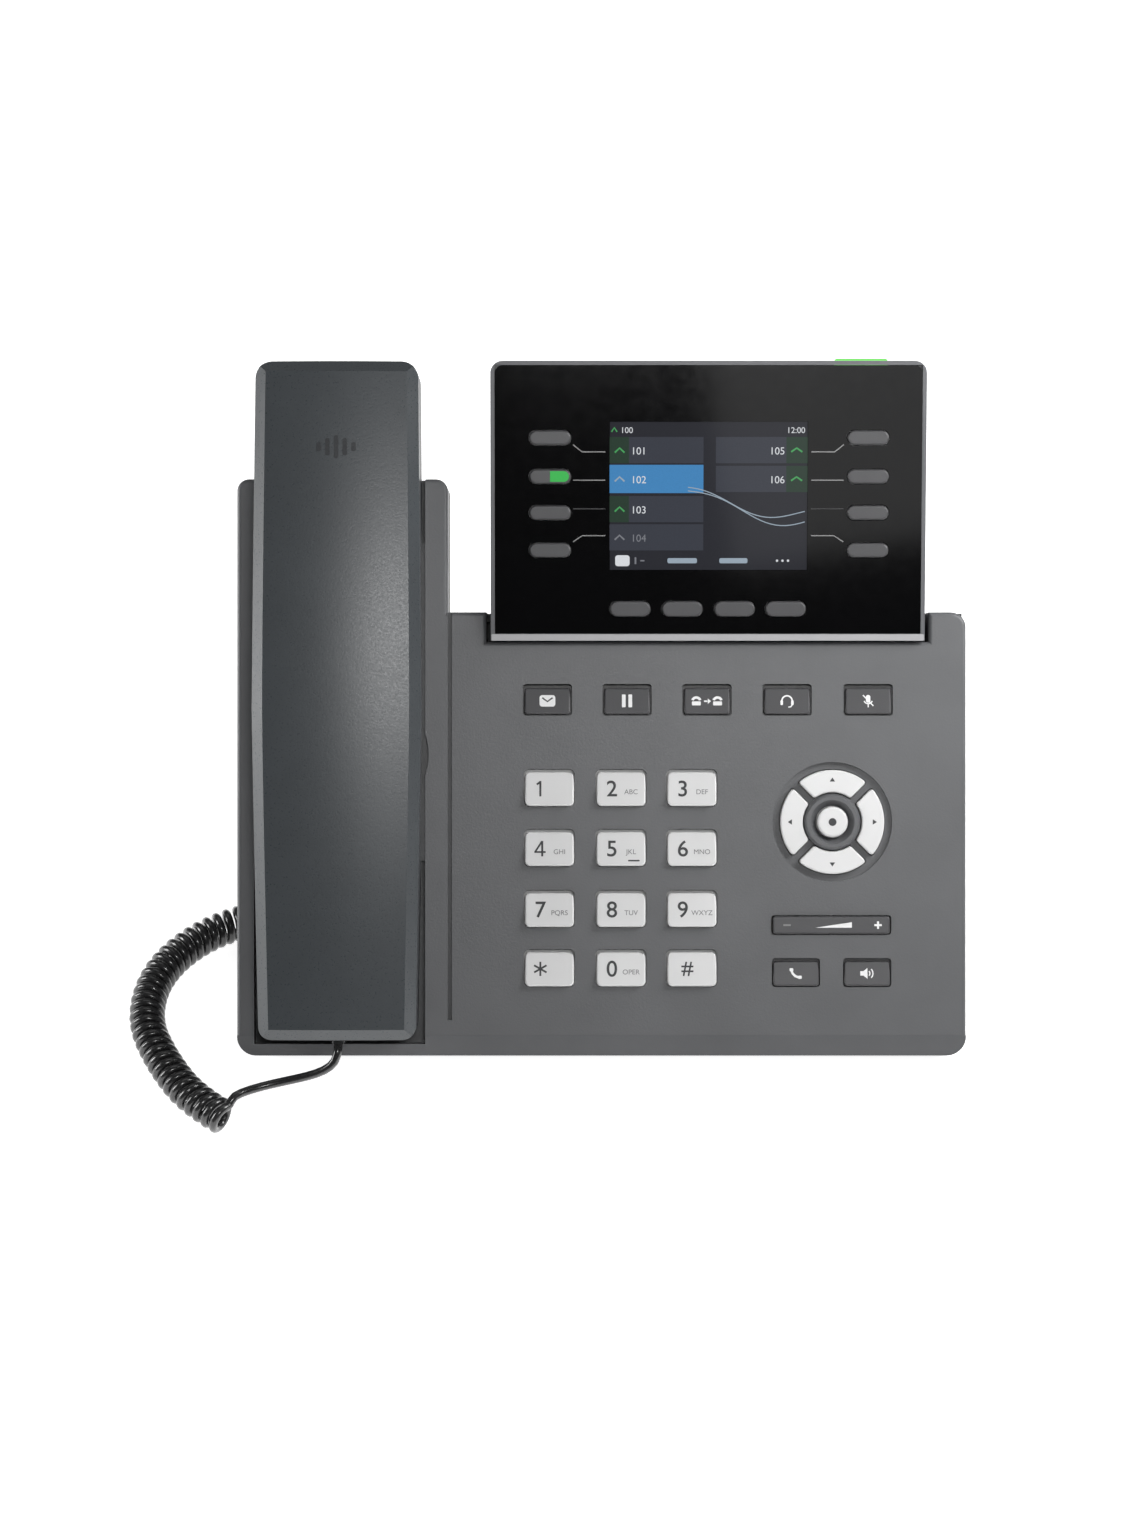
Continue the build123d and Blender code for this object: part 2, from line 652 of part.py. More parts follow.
def handset_form(inset=0.0):
    """The handset's solid form, or its hollow when drawn in by the wall."""
    low, high = handset_foot + inset, handset_top - inset
    floor = handset_rest + inset
    grip = handset_grip + inset
    height = handset_crown - floor + 5
    with BuildPart() as form:
        extrude(handset_plan(inset), amount=height)
        with BuildSketch(up_face) as profile:
            with BuildLine():
                Polyline(
                    (low, floor),
                    (low, floor + height),
                    (high, floor + height),
                    (high, floor),
                    (158, floor),
                    (142, grip),
                    (64, grip),
                    (50, floor),
                    close=True,
                )
            make_face()
            fillet(profile.vertices().group_by(Axis.Y)[1], 8)
        extrude(amount=handset_width, both=True, mode=Mode.INTERSECT)
        add(cambered_back(inset), mode=Mode.INTERSECT)
        # bevel round the back, then the rounded corners
        top = form.faces().sort_by(Axis(face.origin, face.z_dir))[-1]
        chamfer(top.edges(), handset_bevel - inset / 2)
        extrude(handset_plan(inset, (4.0, 5.0)), amount=height, mode=Mode.INTERSECT)
    return form.part


handset_body = handset_form()
handset_hollow = handset_form(handset_wall)
parting = face.offset(handset_parting)

with BuildPart() as handset_front_shell:
    add(handset_body)
    add(handset_hollow, mode=Mode.SUBTRACT)
    split(bisect_by=parting, keep=Keep.TOP)
finish(handset_front_shell, "handset_front_shell")

lower_end = Plane(  # across the handset's lower end: u, and w
    origin=face.from_local_coords((handset_u, handset_foot, 0)), x_dir=(1, 0, 0), z_dir=-face.y_dir
)
with BuildPart() as handset_rear_shell:
    add(handset_body)
    add(handset_hollow, mode=Mode.SUBTRACT)
    split(bisect_by=parting.offset(-0.05), keep=Keep.BOTTOM)
    with BuildSketch(face.offset(handset_rest - 1)):
        with Locations(ear_centre):
            with PolarLocations(9, 8):
                Circle(1.1)
            with PolarLocations(4.5, 5):
                Circle(1.1)
            Circle(1.1)
        with Locations(mouth_centre):
            with GridLocations(4, 0, 4, 1):
                SlotOverall(7, 1.4, rotation=90)
    extrude(amount=handset_wall + 2, mode=Mode.SUBTRACT)
    with BuildSketch(lower_end.offset(2)):
        with Locations((0, cord_port)):
            Rectangle(*port_size)
    extrude(amount=-handset_wall - 4, mode=Mode.SUBTRACT)
finish(handset_rear_shell, "handset_rear_shell")

with BuildPart() as earpiece_capsule:
    with BuildSketch(face.offset(handset_rest + handset_wall)):
        with Locations(ear_centre):
            Circle(15)
    extrude(amount=3)
    with BuildSketch(face.offset(handset_rest + handset_wall + 3)):
        with Locations(ear_centre):
            Circle(10)
    extrude(amount=5)
finish(earpiece_capsule, "earpiece_capsule")

with BuildPart() as handset_microphone:
    with BuildSketch(face.offset(handset_rest + handset_wall)):
        with Locations(mouth_centre):
            Circle(5)
    extrude(amount=4.5)
finish(handset_microphone, "handset_microphone")

# ---------------------------------------------------------------- cord
plug_size = (7.6, 6.4)
plug_out = 0.6  # how far a plug stands out of its port
plug_collar = 0.8


def plug(name, plane, in_depth):
    """A modular plug on its port's plane, in to in_depth, with its latch and the cord's collar."""
    with BuildPart() as body:
        with BuildSketch(plane.offset(-in_depth)):
            Rectangle(*plug_size)
        extrude(amount=in_depth + plug_out)
        fillet(body.edges().filter_by(Axis(plane.origin, plane.z_dir)), 0.4)
        with BuildSketch(plane.offset(plug_out)):
            Circle(wire / 2 + 0.9)
        extrude(amount=plug_collar)
    finish(body, name)


handset_port = lower_end.shift_origin(lower_end.from_local_coords((0, cord_port, 0)))
base_port = Plane(
    origin=(handset_jack, edge_y + jack_row, hump_floor), x_dir=(1, 0, 0), z_dir=(0, 0, -1)
)
plug("handset_plug", handset_port, 11.0)
plug("base_plug", base_port, 12.5)

# routes on the desk, from the face's lower edge; the coil lies on the desk
coil_height = coil / 2 + 0.1
coil_route = [
    (-108.5, -16.5, coil_height),
    (-119.0, -9.5, coil_height),
    (-129.5, 6.0, coil_height),
    (-136.5, 23.0, coil_height),
    (-133.0, 43.0, coil_height),
    (-118.0, 59.0, coil_height),
    (-96.0, 66.0, coil_height),
    (-70.0, 68.0, coil_height),
    (-44.0, 62.5, coil_height),
    (-20.0, 58.5, coil_height),
    (4.0, 60.5, coil_height),
]
plug_exit = handset_port.from_local_coords((0, 0, plug_out + plug_collar))
lead_route = [
    (handset_u, plug_exit.Y - edge_y, plug_exit.Z),
    (-76.7, -3.2, 18.6),
    (-78.8, -4.9, 15.9),
    (-83.0, -5.4, 13.4),
    (-89.0, -5.6, 11.4),
    (-96.0, -6.3, 10.0),
    (-102.6, -8.2, 9.6),
    (-107.2, -11.9, 11.0),
]
base_exit = base_port.from_local_coords((0, 0, plug_out + plug_collar))
base_route = [
    (4.6, 63.9, 3.3),
    (13.5, 65.2, 2.6),
    (22.0, 69.0, 2.2),
    (27.0, 76.0, 2.2),
    (25.0, 84.5, 2.6),
    (16.5, 89.5, 3.6),
    (5.0, 90.0, 5.6),
    (-8.0, 88.0, 9.5),
    (-19.5, 86.0, 15.5),
    (-28.5, 84.8, 24.0),
    (base_exit.X, jack_row, 35.0),
    (base_exit.X, jack_row, base_exit.Z),
]


def bend_radii(points):
    """Radius of each corner's arc: 0.45 of its shorter run over the tangent of half the turn."""
    radii = []
    for before, corner, after in zip(points, points[1:], points[2:]):
        run_in, run_out = corner - before, after - corner
        half_turn = radians(run_in.get_angle(run_out)) / 2
        radii.append(0.45 * min(run_in.length, run_out.length) / tan(half_turn))
    return radii


def tube(name, route, diameter):
    """A cord's plain tube along straight runs joined by tangent arcs."""
    points = [Vector(x, edge_y + y, z) for x, y, z in route]
    radii = bend_radii(points)
    print(name, "arc radii", [round(radius, 1) for radius in radii])
    with BuildPart() as cord:
        with BuildLine() as path:
            FilletPolyline(*points, radius=radii)
        with BuildSketch(Plane(origin=path.line @ 0, z_dir=path.line % 0)):
            Circle(diameter / 2)
        sweep(path=path.line)
    length = path.wires()[0].length
    section = pi * (diameter / 2) ** 2
    print(name, "length", round(length, 1), "volume ratio", round(cord.part.volume / (section * length), 4))
    finish(cord, name)


tube("curly_coil", coil_route, coil)
tube("handset_lead", lead_route, wire)
tube("base_lead", base_route, wire)
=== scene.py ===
import json
from math import cos, pi, radians, sin

import bmesh
import bpy
from mathutils import Matrix, Vector
from mathutils.bvhtree import BVHTree


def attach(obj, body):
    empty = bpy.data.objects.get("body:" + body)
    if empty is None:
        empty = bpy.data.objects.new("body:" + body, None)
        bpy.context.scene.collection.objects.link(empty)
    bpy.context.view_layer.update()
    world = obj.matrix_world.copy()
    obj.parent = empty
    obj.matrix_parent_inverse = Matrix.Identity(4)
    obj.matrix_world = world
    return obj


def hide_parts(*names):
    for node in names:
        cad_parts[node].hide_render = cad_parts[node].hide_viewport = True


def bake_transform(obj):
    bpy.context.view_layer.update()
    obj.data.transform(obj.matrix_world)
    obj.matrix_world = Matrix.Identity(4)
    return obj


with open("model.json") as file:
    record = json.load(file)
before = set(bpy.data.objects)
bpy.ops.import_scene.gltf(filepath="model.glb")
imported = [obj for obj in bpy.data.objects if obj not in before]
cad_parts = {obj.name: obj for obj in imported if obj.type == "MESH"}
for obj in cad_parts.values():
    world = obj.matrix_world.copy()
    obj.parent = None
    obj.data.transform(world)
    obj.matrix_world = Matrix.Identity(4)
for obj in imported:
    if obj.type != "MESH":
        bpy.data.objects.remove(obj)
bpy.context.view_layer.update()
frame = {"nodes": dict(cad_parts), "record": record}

MM = 0.001

# ---------------------------------------------------------------- the face's own frame
# u runs across the face, v up its slope and w out of it, in mm from its lower edge, as in the CAD.
FACE_TILT = radians(45.0)
SCREEN_TILT = radians(51.0)
EDGE_HEIGHT = 15.0
FRONT_FOOT = 16.2  # the front feet's centre behind the face's lower edge
EDGE_Y = frame["record"]["mounts"][0]["pos_m"][1] / MM - FRONT_FOOT


def slope_axes(tilt):
    """Axes of a plane that slopes up to the back: across it, up it, and out of it."""
    return Vector((1, 0, 0)), Vector((0, cos(tilt), sin(tilt))), Vector((0, -sin(tilt), cos(tilt)))


def frame_matrix(origin, tilt):
    """Matrix from a sloping plane's own axes to the row frame, both in metres."""
    across, up, out = slope_axes(tilt)
    matrix = Matrix((across, up, out)).transposed().to_4x4()
    matrix.translation = origin
    return matrix


FACE = frame_matrix(Vector((0, EDGE_Y, EDGE_HEIGHT)) * MM, FACE_TILT)
DISPLAY_U, DISPLAY_V, DISPLAY_PROUD = 30.95, 121.3, 2.0
SCREEN = frame_matrix(FACE @ (Vector((DISPLAY_U, DISPLAY_V, DISPLAY_PROUD)) * MM), SCREEN_TILT)
LCD_SIZE, LCD_CENTRE = (57.6, 43.2), (0.1, 42.1)


def desk(x, y, z):
    """A point in metres, from mm measured on the desk behind the face's lower edge."""
    return Vector((x, EDGE_Y + y, z)) * MM


# ---------------------------------------------------------------- camera, floor and light
VIEW_CENTRE = (-9.2, 86.5)  # u, v at the middle of the picture
VIEW_HEIGHT = 0.444  # of the face plane, from top to bottom of the picture
CAMERA_DISTANCE = 1.15
SENSOR = 36.0


def make_camera():
    """A camera square on to the face."""
    data = bpy.data.cameras.new("camera")
    data.sensor_width = SENSOR
    data.lens = SENSOR * CAMERA_DISTANCE / VIEW_HEIGHT
    camera = bpy.data.objects.new("camera", data)
    bpy.context.collection.objects.link(camera)
    place = FACE.copy()
    place.translation = FACE @ Vector((VIEW_CENTRE[0] * MM, VIEW_CENTRE[1] * MM, CAMERA_DISTANCE))
    camera.matrix_world = place
    bpy.context.scene.camera = camera


make_camera()


# ---------------------------------------------------------------- materials
def new_material(name):
    material = bpy.data.materials.new(name)
    material.use_nodes = True
    return material, material.node_tree.nodes, material.node_tree.links


def noise(nodes, links, scale, detail=2.0, rough=0.5):
    """A noise texture in object space; scale is in waves per metre."""
    coordinates = nodes.new("ShaderNodeTexCoord")
    texture = nodes.new("ShaderNodeTexNoise")
    texture.inputs["Scale"].default_value = scale
    texture.inputs["Detail"].default_value = detail
    texture.inputs["Roughness"].default_value = rough
    links.new(coordinates.outputs["Object"], texture.inputs["Vector"])
    return texture.outputs["Fac"]


NOISE_RANGE = (0.3, 0.7)  # where most of a noise texture's values lie
BROAD_WAVES = 45  # per metre, of the slow unevenness in a moulding's colour
PIXEL_WAVES = 3000  # per metre, of the unevenness of a lit screen


def ramp(nodes, links, source, low, high):
    """Two colours over a noise's range."""
    node = nodes.new("ShaderNodeValToRGB")
    for element, position, colour in zip(node.color_ramp.elements, NOISE_RANGE, (low, high)):
        element.position = position
        element.color = (*colour, 1)
    links.new(source, node.inputs["Fac"])
    return node.outputs["Color"]


def spread(nodes, links, source, low, high):
    """A noise's range, mapped from low to high."""
    node = nodes.new("ShaderNodeMapRange")
    node.inputs["From Min"].default_value, node.inputs["From Max"].default_value = NOISE_RANGE
    node.inputs["To Min"].default_value = low
    node.inputs["To Max"].default_value = high
    links.new(source, node.inputs["Value"])
    return node.outputs["Result"]


def bump(nodes, links, source, height):
    """A surface raised by a noise, by up to a height in metres."""
    node = nodes.new("ShaderNodeBump")
    node.inputs["Distance"].default_value = height
    links.new(source, node.inputs["Height"])
    return node.outputs["Normal"]


def plastic(
    name, colour, roughness=0.45, shade=0.06, grain=1600, depth=0.00003,
    coat=0.0, coat_roughness=0.1, specular=0.5, metallic=0.0,
):
    """Moulded plastic: a little uneven in colour and gloss, with a fine spark-eroded texture."""
    material, nodes, links = new_material(name)
    shader = nodes["Principled BSDF"]
    broad = noise(nodes, links, BROAD_WAVES, 3.0)
    fine = noise(nodes, links, grain, 2.0, 0.6)
    dark = tuple(c * (1 - shade) for c in colour)
    light = tuple(min(1.0, c * (1 + shade)) for c in colour)
    links.new(ramp(nodes, links, broad, dark, light), shader.inputs["Base Color"])
    gloss = spread(nodes, links, fine, roughness * 0.88, roughness * 1.12)
    links.new(gloss, shader.inputs["Roughness"])
    links.new(bump(nodes, links, fine, depth), shader.inputs["Normal"])
    shader.inputs["Specular IOR Level"].default_value = specular
    shader.inputs["Metallic"].default_value = metallic
    shader.inputs["Coat Weight"].default_value = coat
    shader.inputs["Coat Roughness"].default_value = coat_roughness
    return material


def glow(name, colour, strength):
    """A lit patch of the screen or a lamp, with a fine pixel-like unevenness."""
    material, nodes, links = new_material(name)
    shader = nodes["Principled BSDF"]
    fine = noise(nodes, links, PIXEL_WAVES, 1.0)
    dark = tuple(c * 0.93 for c in colour)
    links.new(ramp(nodes, links, fine, dark, colour), shader.inputs["Emission Color"])
    shader.inputs["Emission Strength"].default_value = strength
    shader.inputs["Base Color"].default_value = (0.01, 0.01, 0.012, 1)
    shader.inputs["Roughness"].default_value = 0.06
    shader.inputs["Specular IOR Level"].default_value = 0.3
    return material


def srgb(value):
    """Linear value of an 8-bit display value."""
    share = value / 255
    return share / 12.92 if share <= 0.04045 else ((share + 0.055) / 1.055) ** 2.4


def rgb(red, green, blue):
    return srgb(red), srgb(green), srgb(blue)


HOUSING = plastic("housing_plastic", rgb(91, 92, 94), 0.42, grain=1500, depth=0.00004)
HANDSET = plastic("handset_plastic", rgb(62, 66, 69), 0.3, grain=1700, depth=0.00002)
HANDSET_BACK = plastic("handset_back_plastic", rgb(60, 62, 65), 0.45)
BASE = plastic("base_plastic", rgb(46, 47, 49), 0.5, grain=1100, depth=0.00008)
SILVER_KEY = plastic(
    "silver_key_plastic", rgb(217, 217, 217), 0.33, 0.03, grain=2200, depth=0.00001,
)
DARK_KEY = plastic("dark_key_plastic", rgb(70, 70, 72), 0.4, grain=1800, depth=0.00002)
GREY_KEY = plastic("grey_key_plastic", rgb(68, 68, 70), 0.38, grain=1800, depth=0.00002)
FRAME = plastic("display_frame_plastic", rgb(92, 93, 96), 0.38)
BEZEL = plastic("bezel_gloss_plastic", rgb(3, 3, 4), 0.07, 0.2, grain=300, depth=5e-7)
LCD = plastic("lcd_glass", rgb(30, 31, 35), 0.07, 0.1, grain=3500, depth=0.000001)
LIGHT = glow("light_pipe_green", rgb(120, 228, 100), 1.1)
RUBBER = plastic(
    "foot_rubber", rgb(34, 34, 35), 0.85, 0.1, grain=900, depth=0.00012, specular=0.3,
)
MAT = plastic(
    "keypad_rubber", rgb(150, 150, 146), 0.8, 0.05, grain=900, depth=0.00006, specular=0.3,
)
STEEL = plastic(
    "screw_steel", (0.55, 0.55, 0.57), 0.3, 0.1, grain=2500, depth=0.00002, metallic=1.0,
)
BOARD = plastic("board_laminate", rgb(24, 86, 48), 0.35, 0.15, grain=700, depth=0.00003)
SPEAKER = plastic("speaker_metal", (0.42, 0.42, 0.44), 0.42, 0.1, metallic=0.9)
JACK = plastic("jack_plastic", rgb(30, 30, 32), 0.35, 0.05)
PLUG = plastic("plug_plastic", rgb(46, 47, 48), 0.15, 0.04, grain=500, depth=0.00001, coat=0.4)
CORD = plastic(
    "cord_pvc", rgb(36, 36, 37), 0.3, 0.08, grain=1300, depth=0.00002,
    coat=0.7, coat_roughness=0.12,
)
PRINT_DARK = plastic("key_print_dark", rgb(58, 58, 60), 0.5, 0.05)
PRINT_FAINT = plastic("key_print_faint", rgb(120, 120, 122), 0.5, 0.05)
PRINT_WHITE = plastic("key_print_white", rgb(235, 235, 235), 0.5, 0.03)
PRINT_LINE = plastic("bezel_print_grey", rgb(128, 128, 128), 0.5, 0.04)
PRINT_LINE_DIM = plastic("bezel_print_dim", rgb(44, 44, 46), 0.5, 0.04)
EMBOSS = plastic("emboss_dark", rgb(40, 42, 45), 0.5, 0.05)
# painted highlight: a light grey, partly metallic strip standing for the light caught by the
# display's lower edge
EDGE_HIGHLIGHT = plastic(
    "painted_edge_highlight", (0.4, 0.4, 0.41), 0.4, 0.02, grain=2500, depth=0.000001, metallic=0.3,
)

LAMP = glow("line_lamp_green", rgb(70, 190, 90), 0.9)
GLOW_DARK = glow("screen_dark", rgb(34, 35, 40), 1.0)
GLOW_SLATE = glow("screen_slate", rgb(54, 57, 65), 1.0)
GLOW_CELL = glow("screen_cell", rgb(36, 56, 42), 1.0)
GLOW_BLUE = glow("screen_blue", rgb(64, 130, 184), 1.0)
GLOW_GREEN = glow("screen_green", rgb(70, 160, 90), 1.0)
GLOW_WHITE = glow("screen_white", rgb(215, 218, 222), 1.0)
GLOW_GREY = glow("screen_grey", rgb(120, 122, 128), 1.0)
GLOW_PALE = glow("screen_pale", rgb(150, 165, 178), 1.0)

SLOT_MATERIALS = {
    "housing_grey": HOUSING, "base_dark": BASE, "screw_steel": STEEL, "foot_rubber": RUBBER,
    "display_frame": FRAME, "bezel_gloss": BEZEL, "lcd_screen": LCD, "light_pipe": LIGHT,
    "board_green": BOARD, "mat_rubber": MAT, "speaker_metal": SPEAKER, "jack_black": JACK,
    "plug_clear": PLUG, "cord_black": CORD, "handset_grey": HANDSET, "handset_dark": HANDSET_BACK,
    "key_silver": SILVER_KEY, "key_dark": DARK_KEY, "key_grey": GREY_KEY,
}


def dress_nodes():
    """Give each CAD node the finished material of its slot."""
    for part in frame["record"]["subparts"]:
        node = frame["nodes"][part["node"]]
        for slot in node.material_slots:
            slot.material = SLOT_MATERIALS[part["material_slot"]]


dress_nodes()


# ---------------------------------------------------------------- cord
WIRE = 2.6 * MM
COIL = 11.0 * MM
PITCH = 3.1 * MM
COIL_HEIGHT = 5.6
TURN_POINTS = 14
START_ANGLE = radians(50)  # round the coil, where its first turn leaves the lead
PART_TURN = 0.15  # short of a whole turn, where its last turn meets the base lead
PORT_V, PORT_W = 4.2, 5.0  # where the cord leaves the handset's plug, on the face
BASE_PORT = (-34.0, 84.5, 48.6)

plug_exit = FACE @ (Vector((-76.5, PORT_V, PORT_W)) * MM)
LEAD_ROUTE = [plug_exit] + [desk(*point) for point in (
    (-76.7, -3.2, 18.6),
    (-78.8, -4.9, 15.9),
    (-83.0, -5.4, 13.4),
    (-89.0, -5.6, 11.4),
    (-96.0, -6.3, 10.0),
    (-102.6, -8.2, 9.6),
    (-107.2, -11.9, 11.0),
)]
COIL_ROUTE = [desk(*point) for point in (
    (-108.5, -16.5, COIL_HEIGHT),
    (-119.0, -9.5, COIL_HEIGHT),
    (-129.5, 6.0, COIL_HEIGHT),
    (-136.5, 23.0, COIL_HEIGHT),
    (-133.0, 43.0, COIL_HEIGHT),
    (-118.0, 59.0, COIL_HEIGHT),
    (-96.0, 66.0, COIL_HEIGHT),
    (-70.0, 68.0, COIL_HEIGHT),
    (-44.0, 62.5, COIL_HEIGHT),
    (-20.0, 58.5, COIL_HEIGHT),
    (4.0, 60.5, COIL_HEIGHT),
)]
BASE_ROUTE = [desk(*point) for point in (
    (4.6, 63.9, 3.3),
    (13.5, 65.2, 2.6),
    (22.0, 69.0, 2.2),
    (27.0, 76.0, 2.2),
    (25.0, 84.5, 2.6),
    (16.5, 89.5, 3.6),
    (5.0, 90.0, 5.6),
    (-8.0, 88.0, 9.5),
    (-19.5, 86.0, 15.5),
    (-28.5, 84.8, 24.0),
    (-34.0, 84.5, 35.0),
    BASE_PORT,
)]


def smooth_line(name, points, resolution):
    """Points along the smooth line that a route's NURBS spline gives."""
    curve = bpy.data.curves.new(name, "CURVE")
    curve.dimensions = "3D"
    curve.resolution_u = resolution
    spline = curve.splines.new("NURBS")
    spline.points.add(len(points) - 1)
    for place, point in zip(spline.points, points):
        place.co = (*point, 1)
    spline.order_u = 3
    spline.use_endpoint_u = True
    holder = bpy.data.objects.new(name, curve)
    mesh = bpy.data.meshes.new_from_object(holder)
    line = [vertex.co.copy() for vertex in mesh.vertices]
    bpy.data.objects.remove(holder)
    bpy.data.curves.remove(curve)
    bpy.data.meshes.remove(mesh)
    return line


def evenly(line, step):
    """(point, tangent, distance) along a line, a step apart."""
    lengths = [0.0]
    for before, after in zip(line, line[1:]):
        lengths.append(lengths[-1] + (after - before).length)
    count = int(lengths[-1] / step)
    stations, leg = [], 0
    for index in range(count + 1):
        distance = index * lengths[-1] / count
        while leg < len(line) - 2 and lengths[leg + 1] < distance:
            leg += 1
        share = (distance - lengths[leg]) / (lengths[leg + 1] - lengths[leg])
        point = line[leg].lerp(line[leg + 1], share)
        stations.append((point, (line[leg + 1] - line[leg]).normalized(), distance))
    return stations


def helix_points():
    """Turns of the curly cord round its route: from the lead at the front end to the base lead."""
    radius = (COIL - WIRE) / 2
    line = smooth_line("coil_line", COIL_ROUTE, 24)
    stations = evenly(line, PITCH / TURN_POINTS)
    length = stations[-1][2]
    inset = WIRE / 2
    turns = round((length - 2 * inset) / PITCH + PART_TURN) - PART_TURN
    points = []
    for point, tangent, distance in stations:
        if not inset <= distance <= length - inset:
            continue
        side = Vector((0, 0, 1)).cross(tangent).normalized() * -1
        angle = START_ANGLE + 2 * pi * turns * (distance - inset) / (length - 2 * inset)
        points.append(point + radius * (cos(angle) * side + sin(angle) * Vector((0, 0, 1))))
    return points


def tube_mesh(name, line, radius, sides):
    """A closed round tube along a line, its rings carried along without twist."""
    mesh = bpy.data.meshes.new(name)
    shape = bmesh.new()
    tangents = []
    for index in range(len(line)):
        before = line[max(index - 1, 0)]
        after = line[min(index + 1, len(line) - 1)]
        tangents.append((after - before).normalized())
    normal = tangents[0].orthogonal().normalized()
    rings = []
    for point, tangent in zip(line, tangents):
        normal = (normal - tangent * normal.dot(tangent)).normalized()
        other = tangent.cross(normal)
        corners = [2 * pi * k / sides for k in range(sides)]
        rings.append([
            shape.verts.new(point + radius * (cos(corner) * normal + sin(corner) * other))
            for corner in corners
        ])
    for lower, upper in zip(rings, rings[1:]):
        for k in range(sides):
            after = (k + 1) % sides
            shape.faces.new((lower[k], lower[after], upper[after], upper[k]))
    shape.faces.new(list(reversed(rings[0])))
    shape.faces.new(rings[-1])
    bmesh.ops.recalc_face_normals(shape, faces=shape.faces)
    shape.to_mesh(mesh)
    shape.free()
    mesh.polygons.foreach_set("use_smooth", [True] * len(mesh.polygons))
    return mesh


def link(name, mesh, material):
    mesh.materials.append(material)
    piece = bpy.data.objects.new(name, mesh)
    bpy.context.collection.objects.link(piece)
    return piece


def make_cord():
    """One cord from the handset's plug to the base's: lead, coil and base lead."""
    route = LEAD_ROUTE + helix_points() + BASE_ROUTE
    line = smooth_line("cord_line", route, 2)
    cord = link("curly_cord", tube_mesh("curly_cord", line, WIRE / 2, 10), CORD)
    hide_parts("curly_coil", "handset_lead", "base_lead")
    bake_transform(cord)


make_cord()


# ---------------------------------------------------------------- printed and moulded marks
PRINT = 0.03  # height of a printed mark, mm
KEY_SLOPE = 2.4  # more than a key's top falls from edge to edge, and less than down to its flange
SAME_SLOPE, SAME_LEVEL = 0.9995, 0.05  # cosine, and mm, within which facets are one flat top


